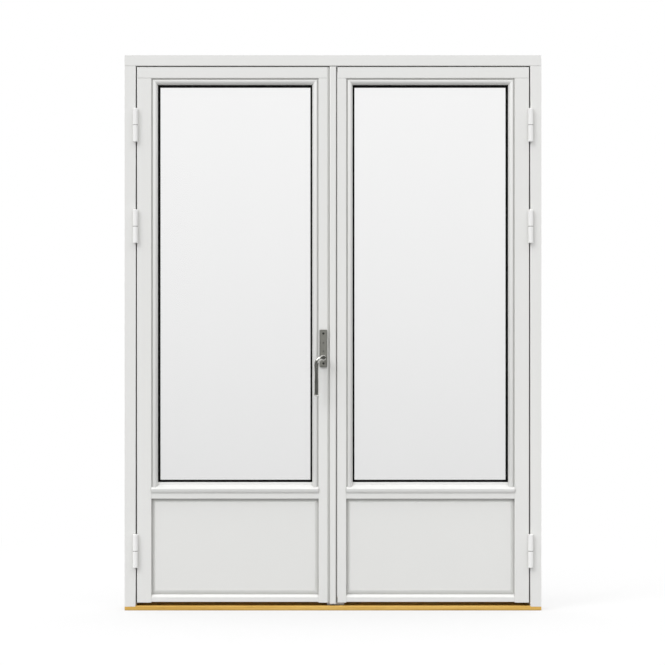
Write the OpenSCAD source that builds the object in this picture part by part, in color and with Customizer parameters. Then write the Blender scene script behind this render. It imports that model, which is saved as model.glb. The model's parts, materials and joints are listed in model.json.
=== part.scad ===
// French doors: two glazed timber leaves in a painted frame on an oak threshold.
// Seen from the room: +X to the right, +Y away from the viewer, +Z up.
// The origin is the middle of the threshold's underside.

/* [Frame] */
// Overall width of the frame
frame_w = 1490; // [1300:10:1800]
// Overall height, threshold included
frame_h = 1985; // [1850:5:2300]
// Depth of the frame from front to back
frame_d = 105; // [95:1:140]
// Width of a jamb beside the leaf
jamb_w = 40; // [34:1:60]
// Height of the head above the leaf
head_h = 38.5; // [32:0.5:60]
// How far the stop reaches in behind the leaf
stop_w = 15; // [13:1:25]
// Rounding of the frame's front edges
frame_arris = 3; // [1:0.5:4]

/* [Threshold] */
// Height of the nose that shows below the jambs
sill_nose_h = 16.4; // [12:0.2:18]
// How far the upstand reaches up behind the leaf
sill_lap = 12; // [9:1:20]
// Flat on top of the upstand
sill_flat = 10; // [6:1:20]
// Height at the back, where the weathering ends
sill_back_h = 22; // [14:1:28]
// Rounding of the nose
sill_arris = 3; // [1:0.5:5]

/* [Leaves] */
// Thickness of a leaf
leaf_t = 62; // [58:1:68]
// Gap between a leaf and the frame
leaf_gap = 4; // [3:0.5:6]
// Height of the stiles' lower end
leaf_bottom = 28; // [27:0.5:34]
// Room for the seal between leaf and stop
seal_gap = 4; // [3:0.5:6]
// Middle of the gap between the leaves
meeting_x = 13.2; // [5:0.1:20]
// Gap between the leaves
meeting_gap = 5; // [5:0.5:7]
// How far the meeting edges lean back, so that each leaf swings clear
edge_bevel = 4; // [4:0.5:5]
// Rounding of the leaf's front edges
leaf_arris = 2; // [1:0.5:3]

/* [Stiles and rails] */
// Face width of a hinge stile
hinge_stile_w = 51.4; // [44:0.1:80]
// Face width of the active leaf's meeting stile, cover strip included
active_stile_w = 62.2; // [60:0.1:80]
// Face width of the passive leaf's meeting stile
passive_stile_w = 31.8; // [29:0.1:60]
// Height of the top rail, which runs over the stiles
top_rail_h = 39.8; // [35:0.1:80]
// Height of the middle rail's lower edge
mid_rail_z = 398; // [300:0.5:700]
// Face height of the middle rail
mid_rail_h = 37; // [28:0.5:80]
// Face height of the bottom rail
bottom_rail_h = 25.5; // [24:0.5:120]
// How far the bottom rail ends above the stiles
rail_lift = 2.5; // [0:0.5:6]
// How far the rails between the stiles lie behind their faces
rail_setback = 1; // [0:0.5:3]
// Sloped upper edge of the bottom rail
rail_chamfer = 9; // [3:0.5:10]
// Rounded lower edge of the middle rail
mid_rail_round = 4; // [1:0.5:8]
// Thickness of the lip behind glass and panel
lip_t = 11; // [8:0.5:16]
// Chamfer around the lip's rear opening
lip_chamfer = 4; // [1:0.5:6]
// Depth of the groove that marks a butt joint
joint_groove = 1.6; // [0.5:0.1:2.5]

/* [Glazing] */
// Width of a glazing bead
bead_w = 22.5; // [22:0.5:32]
// How far the bead's crest lies behind the leaf's face
bead_set = 1; // [0.5:0.5:4]
// Width of the quirk beside the bead's moulding
quirk_w = 6; // [4:0.5:8]
// Depth of that quirk
quirk_d = 6.5; // [4:0.5:9]
// Distance of the bead's crest from its quirk
crest_run = 5; // [4:0.5:8]
// How far the moulding falls towards the glass
ovolo_drop = 9.5; // [6:0.5:12]
// Fillet at the bead's inner edge
bead_fillet = 1.5; // [1:0.5:3]
// Glass pane thickness
pane_t = 4; // [3:0.5:6]
// Gap between the panes
spacer_t = 16; // [12:1:18]
// Front gasket thickness
gasket_t = 3.5; // [2:0.5:4]
// Rear gasket thickness
rear_gasket_t = 3; // [2:0.5:4]
// How far the panes reach past the sight line
glass_cover = 14; // [10:1:18]
// Black edge that shows inside the sight line
black_line = 7; // [3:0.5:10]
// How far the bottom bead's nose stands in front of the leaf
nose_out = 7.5; // [6:0.5:14]
// How far that nose hangs down over the middle rail
nose_drop = 16.5; // [8:0.5:20]
// Height of the steep upper face of the bottom bead
nose_step = 9.5; // [6:0.5:14]
// Flat on top of the bottom bead
nose_flat = 3; // [3:0.5:8]
// How far that steep face leans forward
nose_lean = 1; // [1:0.5:4]

/* [Panels] */
// Depth of the groove that holds the panel
panel_groove = 10; // [6:0.5:11]
// Gap left at the bottom of that groove
panel_play = 0.5; // [0.2:0.1:1]
// Depth of the tongue's front behind the leaf's face
panel_set = 20; // [14:0.5:26]
// How far the raised field stands in front of the tongue
panel_raise = 8; // [2:0.5:11]
// Width of the bevel round the field
panel_bevel = 14; // [8:1:40]

/* [Cover strip] */
// Width of the strip that covers the meeting edge
strip_w = 22.5; // [18:0.5:26]
// Depth of its seat in the stile
strip_seat = 12; // [9:0.5:13]
// How far it stands in front of the leaf
strip_proud = 2; // [0.5:0.5:5]
// How far it runs past the leaf's top
strip_over_top = 2; // [0:0.5:2.5]
// How far it runs past the leaf's bottom
strip_over_bottom = 4; // [0:0.5:8]
// Rounding of its front edges
strip_round = 3; // [1:0.5:5]
// Width of the chamfer beside it
strip_chamfer_w = 9.7; // [3:0.1:10]
// Depth of that chamfer
strip_chamfer_d = 8; // [2:0.5:8]

/* [Hinges] */
// Length of a hinge
hinge_len = 120; // [90:1:140]
// Radius of the knuckle
knuckle_r = 9; // [7.5:0.5:9]
// Radius of the hinge pin
pin_r = 5; // [4:0.5:5.5]
// Thickness of a hinge wing
wing_t = 2.5; // [2:0.5:3]
// Depth of a hinge wing in the timber
wing_d = 32; // [24:1:40]
// Distance of the hinge axis in front of the leaf
hinge_out = 9.5; // [9.5:0.5:12]
// How far the axis lies behind the jamb's inner face
hinge_in = 1; // [0.5:0.1:1.2]
// Split between the two halves of a knuckle
knuckle_split = 0.6; // [0.4:0.1:1]
// Rounding of the knuckle's ends
knuckle_round = 2.5; // [1:0.5:3]
// Solid end of a knuckle
knuckle_end = 6; // [4:1:10]
// Middle of the top hinge below the leaf's top
hinge_top_drop = 207.5; // [120:0.5:300]
// Middle of the second hinge below the top one
hinge_mid_drop = 362; // [200:1:600]
// Middle of the low hinge above the leaf's bottom
hinge_low_rise = 185; // [120:1:300]

/* [Handle] */
// Distance of the handle's axis from the active leaf's edge
backset = 44.9; // [43:0.1:46]
// Height of the handle's axis
handle_z = 904; // [800:1:1100]
// Width of the handle plate
plate_w = 27; // [26:0.5:28]
// Height of the handle plate
plate_h = 133; // [120:1:200]
// Thickness of the handle plate
plate_t = 7.5; // [5:0.5:10]
// Width of the plate's stepped edge
plate_step = 1.5; // [0.5:0.5:3]
// Rounding of the plate's corners
plate_round = 2; // [1:0.5:8]
// Middle of the plate above the handle's axis
plate_rise = 32.5; // [20:0.5:40]
// Distance between the plate's screws
screw_pitch = 107; // [95:1:112]
// Radius of a screw's head
screw_head_r = 4; // [3:0.5:5]
// Radius of a screw's shank
screw_r = 2; // [1.5:0.5:2.5]
// Length of a plate screw
screw_len = 28; // [16:1:30]
// Radius of the lever's bend
lever_bend_r = 8.6; // [7:0.1:10]
// Radius of the grip at its waist
lever_waist_r = 6.9; // [6:0.1:9]
// Distance of the waist below the bend
lever_waist_drop = 28; // [15:1:60]
// Radius of the grip at its tip
lever_r = 7.9; // [6:0.1:9]
// How far the lever is cranked sideways
lever_reach = 24.8; // [18:0.1:34]
// Distance from the lever's axis to its tip
lever_drop = 138; // [110:1:150]
// Distance of the lever's middle in front of the leaf
lever_out = 45; // [40:1:60]
// Radius of the lever's hub
hub_r = 10; // [9:0.5:13]
// Radius of the neck that turns in the plate
neck_r = 8; // [7:0.5:9]
// Side of the square spindle
spindle_s = 6; // [5:0.5:6]

/* [Bolt drive] */
// Depth of the bolts' centre line behind the leaf's face
drive_depth = 31; // [28:0.5:34]
// Tooth module of gear and racks
gear_module = 1.25; // [1.2:0.05:1.25]
// Number of teeth of the drive gear
gear_teeth = 12; // [12:2:12]
// Width of the gear's teeth
gear_t = 8; // [6:0.5:9]
// Radius of the gear's journals
journal_r = 5.4; // [5:0.1:5.5]
// Width of a bolt rod
rod_w = 12; // [11:0.5:12]
// Thickness of a bolt rod
rod_t = 6; // [4:0.5:7]
// Thickness of a rack behind its teeth
rack_back = 3.2; // [2.5:0.1:3.5]
// Distance of the rods' middle from the active leaf's edge
rod_inset = 18.7; // [17:0.1:20]
// Radius of the round bolt ends
bolt_r = 5; // [4:0.5:5]
// Length of the round bolt ends
bolt_tip = 60; // [40:5:80]
// Height of the gear case
case_h = 126; // [124:1:160]
// Thickness of the case's walls
case_wall = 2; // [1.5:0.5:2.5]
// Inside depth of the case
case_room = 11; // [10:0.5:11]
// Width of the faceplate on the leaf's edge
face_w = 16; // [16:0.5:18]
// Thickness of the faceplates
face_t = 2.5; // [2:0.5:3]

/* [Flush bolts] */
// Distance of the flush bolts' middle from the passive leaf's edge
flush_inset = 10.6; // [10.2:0.1:11.5]
// Length of a flush bolt's plate
flush_len = 180; // [140:1:240]
// Travel of a flush bolt
flush_throw = 14; // [12:1:20]
// Length of a flush bolt's thumb slide
thumb_len = 14; // [10:1:20]

/* [Strikes and fixings] */
// Thickness of the strike plate in the head
strike_t = 2; // [1.5:0.5:4]
// Height of the strike block on the threshold
strike_block_h = 9; // [6:0.5:9]
// Margin of a strike round the bolt holes
strike_margin = 14; // [10:1:20]
// Depth of the bolt pockets in head and threshold
pocket_d = 12; // [8:1:14]
// Radius of the frame fixing holes
fixing_r = 7; // [4:0.5:8]
// Depth of the fixing holes behind the frame's face
fixing_depth = 33; // [20:1:40]
// Height of the lowest fixing
fixing_low = 100; // [80:1:140]
// Distance of the highest fixing below the frame's top
fixing_top_drop = 125; // [90:1:150]

/* [Fits] */
// Radial clearance of a turning fit
turn_clear = 0.05; // [0.02:0.01:0.1]
// Clearance of a sliding bolt in its channel
slide_clear = 0.3; // [0.2:0.1:0.5]
// Clearance of a bolt in its strike
strike_clear = 0.6; // [0.4:0.1:1]
// Clearance between a seal and what closes on it
seal_clear = 0.3; // [0.2:0.1:0.5]
// Play between gear and rack teeth
backlash = 0.2; // [0.1:0.05:0.3]

/* [Hidden] */
$fn = 48;

// Spare length of a cutting shape past the face that it cuts
over = 1;

// Frame planes
half_w = frame_w / 2;
front = -frame_d / 2;
back = frame_d / 2;
jamb_in = half_w - jamb_w;
stop_in = jamb_in - stop_w;
head_lo = frame_h - head_h;
stop_lo = head_lo - stop_w;

// Leaf planes
leaf_x = jamb_in - leaf_gap;
leaf_top = head_lo - leaf_gap;
leaf_back = front + leaf_t;
stop_y = leaf_back + seal_gap;
sill_top = leaf_bottom + sill_lap;
active_edge = meeting_x - meeting_gap / 2;
passive_edge = meeting_x + meeting_gap / 2;
active_w = leaf_x + active_edge;
passive_w = leaf_x - passive_edge;
rail_z = leaf_top - top_rail_h;
mid_top = mid_rail_z + mid_rail_h;
bottom_z = leaf_bottom + rail_lift;
bottom_top = bottom_z + bottom_rail_h;
sight_top = rail_z - bead_w;
sight_low = mid_top + bead_w;

// Layers of the glazing, from the lip forward
lip_y = leaf_back - lip_t;
pane_in_y = lip_y - rear_gasket_t;
spacer_in_y = pane_in_y - pane_t;
spacer_out_y = spacer_in_y - spacer_t;
gasket_y = spacer_out_y - pane_t;
bead_y = gasket_y - gasket_t;
crest_y = front + bead_set;
panel_y = front + panel_set;

// Bead moulding: one arc from the quirk over the crest to the inner fillet
crest_s = quirk_w + crest_run;
ovolo_run = bead_w - bead_fillet - crest_s;
ovolo_r = (pow(ovolo_run, 2) + pow(ovolo_drop, 2)) / (2 * ovolo_drop);

// Frame seal: its ring on the stop, and the tail in a kerf
seal_edge = 0.4;
seal_show = 2.6;
seal_inset = 2;
seal_base = 1.8;
tail_w = 3;
tail_d = 5;

// Meeting seal on the active leaf's edge
meeting_seal_depth = 16;
meeting_seal_r = 2.6;
meeting_seal_reach = 4.2;
meeting_seal_tail = 5.7;
meeting_seal_root = active_w - edge_bevel * (meeting_seal_depth - meeting_seal_r) / leaf_t;

// Hinges
axis_x = jamb_in + hinge_in;
axis_y = front - hinge_out;
hinge_top_z = leaf_top - hinge_top_drop;
hinge_mid_z = hinge_top_z - hinge_mid_drop;
hinge_low_z = leaf_bottom + hinge_low_rise;
hinge_zs = [hinge_top_z, hinge_mid_z, hinge_low_z];
neck_start = pin_r + over;

// Handle and bolt drive
handle_x = active_edge - backset;
plate_y = front - plate_t;
lever_y = front - lever_out;
plate_z = handle_z + plate_rise;
screw_zs = [plate_z - screw_pitch / 2, plate_z + screw_pitch / 2];
neck_play = 0.5;
drive_y = front + drive_depth;
pitch_r = gear_module * gear_teeth / 2;
tooth_pitch = PI * gear_module;
pressure = 20;
gear_add = gear_module;
gear_ded = 1.25 * gear_module;
rack_add = 0.7 * gear_module;
rack_ded = gear_add + 0.25 * gear_module;
base_r = pitch_r * cos(pressure);
throw = pitch_r * PI / 2;
rack_end = throw + 2 * tooth_pitch;
rack_teeth_low = -5;
rack_teeth_high = 1;
slot_turn = 35;
rod_x = active_edge - rod_inset;
jog_z = 38;
jog_h = 8;
channel_floor = rod_x - rod_w / 2 - slide_clear;
channel_half = bolt_r + slide_clear;
face_x = active_edge - edge_bevel * (drive_depth + face_w / 2) / leaf_t;
case_back = handle_x - pitch_r - rack_ded - rack_back - slide_clear;
case_x = case_back - case_wall / 2;
bolt_rest = 0.5;

// Flush bolts
flush_x = passive_edge + flush_inset;
flush_face = passive_w - edge_bevel * (drive_depth + face_w / 2) / leaf_t;
flush_u = passive_w - flush_inset;
thumb_play = 0.4;
thumb_w = 6;
bolt_tail = 24;

// Frame fixings
fixing_y = front + fixing_depth;
fixing_high = frame_h - fixing_top_drop;
fixing_count = 4;
fixing_zs = [for (i = [0 : fixing_count - 1])
    fixing_low + i * (fixing_high - fixing_low) / (fixing_count - 1)];

paint = "#e3e3e1";
oak = "#cea655";
rubber = "#1a1a1a";
pale_rubber = "#b9b9b4";
nickel = "#8f8f8f";
steel = "#a9abad";

// Plain shapes given by their limits

module box(x0, x1, y0, y1, z0, z1) {
    translate([x0, y0, z0]) cube([x1 - x0, y1 - y0, z1 - z0]);
}

module rect(x0, x1, y0, y1) {
    translate([x0, y0]) square([x1 - x0, y1 - y0]);
}

module ring(x0, x1, z0, z1, width) {
    difference() {
        rect(x0, x1, z0, z1);
        rect(x0 + width, x1 - width, z0 + width, z1 - width);
    }
}

// Outlines of (y, z), (x, z) and (x, y) drawn out along X, Y and Z

module along_x(x0, x1) {
    translate([x0, 0, 0]) rotate([90, 0, 90]) linear_extrude(x1 - x0) children();
}

module along_y(y0, y1) {
    translate([0, y1, 0]) rotate([90, 0, 0]) linear_extrude(y1 - y0) children();
}

module along_z(z0, z1) {
    translate([0, 0, z0]) linear_extrude(z1 - z0) children();
}

// What is cut off a corner at the origin to round it or to chamfer it

module round_cut(r) {
    difference() {
        translate([-over, -over]) square(r + over);
        translate([r, r]) circle(r);
    }
}

module chamfer_cut(c) {
    rotate(45) square(c * sqrt(2), center = true);
}

// A leaf is drawn from its hinge edge at x = 0, and put in place on the left or mirrored on the right

module on_left() {
    translate([-leaf_x, 0, 0]) children();
}

module on_right() {
    translate([leaf_x, 0, 0]) mirror([1, 0, 0]) children();
}

// Frame

module threshold_body() {
    along_x(-half_w, half_w) difference() {
        polygon([
            [front, 0], [back, 0], [back, sill_back_h], [stop_y + sill_flat, sill_top],
            [stop_y, sill_top], [stop_y, sill_nose_h], [front, sill_nose_h]
        ]);
        translate([front, sill_nose_h]) mirror([0, 1]) round_cut(sill_arris);
    }
}

module seal_tail() {
    inset = (stop_w - tail_w) / 2;
    along_y(stop_y - over, stop_y + tail_d)
        ring(-jamb_in + inset, jamb_in - inset, (leaf_bottom + sill_top - tail_w) / 2, head_lo - inset, tail_w);
}

module strike_outline() {
    rect(rod_x - strike_margin, flush_x + strike_margin, drive_y - face_w / 2, drive_y + face_w / 2);
}

module strike_holes(r, z0, z1) {
    for (x = [rod_x, flush_x]) translate([x, drive_y, z0]) cylinder(r = r, h = z1 - z0);
}

module threshold() {
    color(oak) difference() {
        threshold_body();
        seal_tail();
        strike_holes(bolt_r + strike_clear, sill_nose_h - pocket_d, sill_nose_h + over);
    }
}

module frame_head() {
    color(paint) difference() {
        union() {
            box(-half_w, half_w, front, back, head_lo, frame_h);
            box(-stop_in, stop_in, stop_y, back, stop_lo, head_lo);
        }
        along_x(-jamb_in, jamb_in) translate([front, head_lo]) round_cut(frame_arris);
        along_x(-half_w - over, half_w + over) translate([front, head_lo]) chamfer_cut(joint_groove);
        seal_tail();
        along_z(head_lo - over, head_lo + strike_t) strike_outline();
        strike_holes(bolt_r + strike_clear, head_lo, head_lo + strike_t + pocket_d);
    }
}

module jamb() {
    difference() {
        union() {
            box(-half_w, -jamb_in, front, back, 0, head_lo);
            box(-jamb_in, -stop_in, stop_y, back, 0, head_lo);
        }
        threshold_body();
        along_z(-over, head_lo + over) translate([-jamb_in, front]) mirror([1, 0]) round_cut(frame_arris);
        for (z = hinge_zs)
            box(-jamb_in - wing_t, -jamb_in + over, front - over, front + wing_d,
                z - hinge_len / 2, z + hinge_len / 2);
        for (z = fixing_zs)
            translate([-half_w - over, fixing_y, z]) rotate([0, 90, 0]) cylinder(r = fixing_r, h = jamb_w + 2 * over);
        seal_tail();
    }
}

module frame_seal() {
    lip_in = 2;
    x = jamb_in - seal_edge;
    z0 = leaf_bottom - seal_show;
    z1 = head_lo - seal_edge;
    side = stop_w - seal_edge - seal_inset;
    low = sill_top - seal_inset - z0;
    color(rubber) union() {
        along_y(stop_y - seal_base, stop_y) difference() {
            rect(-x, x, z0, z1);
            rect(-x + side, x - side, z0 + low, z1 - side);
        }
        along_y(leaf_back + seal_clear, stop_y - seal_base) difference() {
            rect(-x + lip_in, x - lip_in, z0 + lip_in, z1 - lip_in);
            rect(-x + side - lip_in, x - side + lip_in, z0 + low - lip_in, z1 - side + lip_in);
        }
        intersection() {
            seal_tail();
            box(-half_w, half_w, stop_y, back, 0, frame_h);
        }
    }
}

module head_strike() {
    color(steel) difference() {
        along_z(head_lo, head_lo + strike_t) strike_outline();
        strike_holes(bolt_r + strike_clear, head_lo - over, head_lo + strike_t + over);
    }
}

module threshold_strike() {
    color(steel) difference() {
        along_z(sill_nose_h, sill_nose_h + strike_block_h) strike_outline();
        strike_holes(bolt_r + strike_clear, sill_nose_h - over, sill_nose_h + strike_block_h + over);
    }
}

// Hinges, drawn on the left side

module knuckle(length) {
    rotate_extrude() difference() {
        square([knuckle_r, length]);
        translate([knuckle_r, length]) mirror([1, 0]) mirror([0, 1]) round_cut(knuckle_round);
    }
}

module pin_bore(z) {
    translate([-axis_x, axis_y, z - hinge_len / 2 + knuckle_end])
        cylinder(r = pin_r + turn_clear, h = hinge_len - 2 * knuckle_end);
}

module hinge_frame_half(z) {
    color(paint) difference() {
        union() {
            translate([-axis_x, axis_y, z - knuckle_split / 2]) mirror([0, 0, 1])
                knuckle((hinge_len - knuckle_split) / 2);
            box(-jamb_in - wing_t, -jamb_in, axis_y + neck_start, front + over, z - hinge_len / 2 + knuckle_round,
                z - knuckle_split / 2);
            box(-jamb_in - wing_t, -jamb_in, front, front + wing_d, z - hinge_len / 2, z + hinge_len / 2);
        }
        pin_bore(z);
    }
}

module hinge_leaf_half(z) {
    color(paint) difference() {
        union() {
            translate([-axis_x, axis_y, z + knuckle_split / 2]) knuckle((hinge_len - knuckle_split) / 2);
            box(-leaf_x, -leaf_x + wing_t, axis_y + wing_t, front + over, z + knuckle_split / 2,
                z + hinge_len / 2 - knuckle_round);
            box(-leaf_x, -leaf_x + wing_t, front, front + wing_d, z - hinge_len / 2, z + hinge_len / 2);
        }
        pin_bore(z);
    }
}

module hinge_pins() {
    play = 2;
    color(steel) for (side = [-1, 1], z = hinge_zs)
        translate([side * axis_x, axis_y, z - hinge_len / 2 + knuckle_end])
            cylinder(r = pin_r, h = hinge_len - 2 * knuckle_end - play);
}

// Leaf timber, drawn from the hinge edge

module stile_outline(face) {
    difference() {
        union() {
            rect(0, face, front, lip_y);
            rect(0, face + bead_w, lip_y, leaf_back);
        }
        translate([face, front]) chamfer_cut(leaf_arris / 2);
        translate([face + bead_w, leaf_back]) chamfer_cut(lip_chamfer);
    }
}

module panel_slot(face) {
    box(face - panel_groove, face + over, panel_y, lip_y, bottom_top - panel_groove, mid_rail_z + panel_groove);
}

module stile(face) {
    difference() {
        along_z(leaf_bottom, rail_z) stile_outline(face);
        panel_slot(face);
    }
}

module hinge_edge_cut() {
    along_z(0, frame_h) translate([0, front]) round_cut(leaf_arris);
    for (z = hinge_zs) box(-over, wing_t, front - over, front + wing_d, z - hinge_len / 2, z + hinge_len / 2);
}

module hinge_stile() {
    color(paint) difference() {
        stile(hinge_stile_w);
        hinge_edge_cut();
    }
}

module meeting_stile(w, face) {
    translate([w, 0, 0]) mirror([1, 0, 0]) stile(face);
}

module bevel_cut(w) {
    along_z(0, frame_h) polygon([
        [w, front - over], [w, front], [w - edge_bevel, leaf_back], [w - edge_bevel, leaf_back + over],
        [w + over, leaf_back + over], [w + over, front - over]
    ]);
}

// Everything that is cut into the active leaf's meeting edge from top to bottom

module active_edge_cut() {
    w = active_w;
    bevel_cut(w);
    along_z(0, frame_h) {
        rect(w - strip_w, w + over, front - over, front + strip_seat);
        polygon([
            [w - strip_w - strip_chamfer_w, front - over], [w - strip_w - strip_chamfer_w, front],
            [w - strip_w, front + strip_chamfer_d], [w - strip_w + over, front + strip_chamfer_d],
            [w - strip_w + over, front - over]
        ]);
        rect(leaf_x + channel_floor, w + over, drive_y - channel_half, drive_y + channel_half);
        rect(leaf_x + face_x - face_t, w + over, drive_y - face_w / 2, drive_y + face_w / 2);
        rect(w - meeting_seal_tail, w + over, front + meeting_seal_depth - tail_w / 2,
            front + meeting_seal_depth + tail_w / 2);
    }
}

module active_meeting_stile() {
    color(paint) on_left() difference() {
        meeting_stile(active_w, active_stile_w);
        active_edge_cut();
        translate([leaf_x, 0, 0]) {
            box(case_x, active_edge, drive_y - case_room / 2 - case_wall, drive_y + case_room / 2 + case_wall,
                handle_z - case_h / 2, handle_z + case_h / 2);
            translate([handle_x, front - over, handle_z]) rotate([-90, 0, 0])
                cylinder(r = neck_r - over, h = drive_depth);
            for (z = screw_zs) translate([handle_x, front - over, z]) rotate([-90, 0, 0])
                cylinder(r = screw_r, h = screw_len - plate_t + over);
        }
    }
}

// Channel of a flush bolt, at the top or mirrored at the bottom

module flush_channel() {
    w = passive_w;
    box(flush_u - bolt_r - slide_clear, w + over, drive_y - channel_half, drive_y + channel_half,
        leaf_top - flush_len + bolt_tail / 2, leaf_top + over);
    box(flush_face - face_t, w + over, drive_y - face_w / 2, drive_y + face_w / 2,
        leaf_top - flush_len, leaf_top + over);
}

module at_bottom() {
    translate([0, 0, leaf_bottom + leaf_top]) mirror([0, 0, 1]) children();
}

module passive_edge_cut() {
    bevel_cut(passive_w);
    along_z(0, frame_h) translate([passive_w, front]) chamfer_cut(leaf_arris);
    flush_channel();
    at_bottom() flush_channel();
}

module passive_meeting_stile() {
    color(paint) on_right() difference() {
        meeting_stile(passive_w, passive_stile_w);
        passive_edge_cut();
    }
}

module top_rail(w, face) {
    difference() {
        union() {
            box(0, w, front, leaf_back, rail_z, leaf_top);
            box(hinge_stile_w + bead_w, w - face - bead_w, lip_y, leaf_back, sight_top, rail_z);
        }
        along_x(0, w) translate([leaf_back, sight_top]) chamfer_cut(lip_chamfer);
        along_x(-over, w + over) translate([front, rail_z]) chamfer_cut(joint_groove);
        along_z(0, frame_h) translate([0, front]) round_cut(leaf_arris);
    }
}

module mid_rail(w, face) {
    color(paint) difference() {
        union() {
            along_x(hinge_stile_w, w - face) difference() {
                rect(front + rail_setback, lip_y, mid_rail_z, mid_top);
                rect(panel_y, lip_y + over, mid_rail_z - over, mid_rail_z + panel_groove);
                translate([front + rail_setback, mid_rail_z]) round_cut(mid_rail_round);
            }
            along_x(hinge_stile_w + bead_w, w - face - bead_w) difference() {
                rect(lip_y, leaf_back, mid_rail_z - bead_w, sight_low);
                translate([leaf_back, mid_rail_z - bead_w]) chamfer_cut(lip_chamfer);
                translate([leaf_back, sight_low]) chamfer_cut(lip_chamfer);
            }
        }
    }
}

module bottom_rail(w, face) {
    color(paint) union() {
        along_x(hinge_stile_w, w - face) difference() {
            rect(front + rail_setback, lip_y, bottom_z, bottom_top);
            rect(panel_y, lip_y + over, bottom_top - panel_groove, bottom_top + over);
            translate([front + rail_setback, bottom_top]) chamfer_cut(rail_chamfer);
        }
        along_x(hinge_stile_w + bead_w, w - face - bead_w) difference() {
            rect(lip_y, leaf_back, bottom_z, bottom_top + bead_w);
            translate([leaf_back, bottom_top + bead_w]) chamfer_cut(lip_chamfer);
        }
    }
}

// Panel with a tongue all round and a bevelled field in front

module panel(w, face) {
    x0 = hinge_stile_w;
    x1 = w - face;
    z0 = bottom_top;
    z1 = mid_rail_z;
    tongue = panel_groove - panel_play;
    field_y = panel_y - panel_raise;
    wedge = [[0, panel_y], [panel_bevel, field_y], [panel_bevel, field_y - over], [-over, field_y - over],
        [-over, panel_y]];
    color(paint) union() {
        box(x0 - tongue, x1 + tongue, panel_y, lip_y, z0 - tongue, z1 + tongue);
        difference() {
            box(x0 + panel_play, x1 - panel_play, field_y, panel_y, z0 + panel_play, z1 - panel_play);
            along_z(z0, z1) {
                translate([x0, 0]) polygon(wedge);
                translate([x1, 0]) mirror([1, 0]) polygon(wedge);
            }
            along_x(x0, x1) {
                translate([0, z0]) rotate(90) mirror([0, 1]) polygon(wedge);
                translate([0, z1]) rotate(-90) polygon(wedge);
            }
        }
    }
}

// Glazing

module glass_panes(w, face) {
    x0 = hinge_stile_w + bead_w - glass_cover;
    x1 = w - face - bead_w + glass_cover;
    color("#dfe8e6", 0.4) for (y = [gasket_y, spacer_in_y])
        box(x0, x1, y, y + pane_t, sight_low - glass_cover, sight_top + glass_cover);
}

module edge_ring(w, face, y0, y1, outer, inner) {
    along_y(y0, y1)
        ring(hinge_stile_w + bead_w - outer, w - face - bead_w + outer, sight_low - outer, sight_top + outer,
            outer + inner);
}

module spacer(w, face) {
    seal_edge_gap = 2;
    color(rubber) edge_ring(w, face, spacer_out_y, spacer_in_y, glass_cover - seal_edge_gap, black_line);
}

module gaskets(w, face) {
    color(rubber) {
        edge_ring(w, face, bead_y, gasket_y, glass_cover, black_line);
        edge_ring(w, face, pane_in_y, lip_y, glass_cover, black_line);
    }
}

module bead_outline() {
    foot_y = crest_y + ovolo_drop;
    union() {
        rect(0, bead_w, foot_y, bead_y);
        rect(0, quirk_w, crest_y + quirk_d, foot_y);
        intersection() {
            translate([crest_s, crest_y + ovolo_r]) circle(ovolo_r, $fn = 96);
            rect(quirk_w, bead_w - bead_fillet, crest_y, foot_y);
        }
    }
}

// What is cut off a bead past the mitre line that runs down from the corner at (x, rail_z)

module mitre_cut() {
    along_y(front - nose_out - over, leaf_back) translate([0, rail_z])
        polygon([[-over, over], [bead_w + over, -bead_w - over], [bead_w + over, over]]);
}

module mitre_keep() {
    along_y(front - nose_out - over, leaf_back) translate([0, rail_z])
        polygon([[-over, over], [bead_w + over, -bead_w - over], [-over, -bead_w - over]]);
}

module bottom_bead_outline() {
    nose_y = front - nose_out;
    nose_t = nose_out + rail_setback;
    nose_r = (pow(nose_drop, 2) + pow(nose_t, 2)) / (2 * nose_t);
    union() {
        polygon([
            [bead_y, mid_top], [bead_y, sight_low], [bead_y - nose_flat, sight_low],
            [bead_y - nose_flat - nose_lean, sight_low - nose_step], [nose_y, mid_top]
        ]);
        intersection() {
            translate([nose_y + nose_r, mid_top]) circle(nose_r, $fn = 96);
            rect(nose_y, nose_y + nose_t, mid_top - nose_drop, mid_top);
        }
    }
}

module bead_bottom(w, face) {
    color(paint) along_x(hinge_stile_w, w - face) bottom_bead_outline();
}

module bead_side() {
    difference() {
        along_z(mid_top, rail_z) bead_outline();
        mitre_cut();
        along_x(-over, bead_w + over) bottom_bead_outline();
    }
}

module bead_hinge_side() {
    color(paint) translate([hinge_stile_w, 0, 0]) bead_side();
}

module bead_meeting_side(w, face) {
    color(paint) translate([w - face, 0, 0]) mirror([1, 0, 0]) bead_side();
}

module bead_top(w, face) {
    x0 = hinge_stile_w;
    x1 = w - face;
    color(paint) difference() {
        along_x(x0, x1) translate([0, rail_z]) rotate(-90) bead_outline();
        translate([x0, 0, 0]) mitre_keep();
        translate([x1, 0, 0]) mirror([1, 0, 0]) mitre_keep();
    }
}

// Meeting edge of the active leaf

module cover_strip() {
    x0 = active_edge - strip_w;
    y0 = front - strip_proud;
    color(paint) along_z(leaf_bottom - strip_over_bottom, leaf_top + strip_over_top) difference() {
        rect(x0, active_edge, y0, front + strip_seat);
        translate([x0, y0]) round_cut(strip_round);
        translate([active_edge, y0]) mirror([1, 0]) round_cut(strip_round);
    }
}

module meeting_seal() {
    y = front + meeting_seal_depth;
    tip = active_w + meeting_seal_reach - meeting_seal_r;
    color(pale_rubber) on_left() along_z(leaf_bottom, leaf_top) union() {
        rect(active_w - meeting_seal_tail, tip, y - tail_w / 2, y + tail_w / 2);
        rect(meeting_seal_root, tip, y - meeting_seal_r, y + meeting_seal_r);
        translate([tip, y]) circle(meeting_seal_r);
    }
}

// Handle

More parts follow.
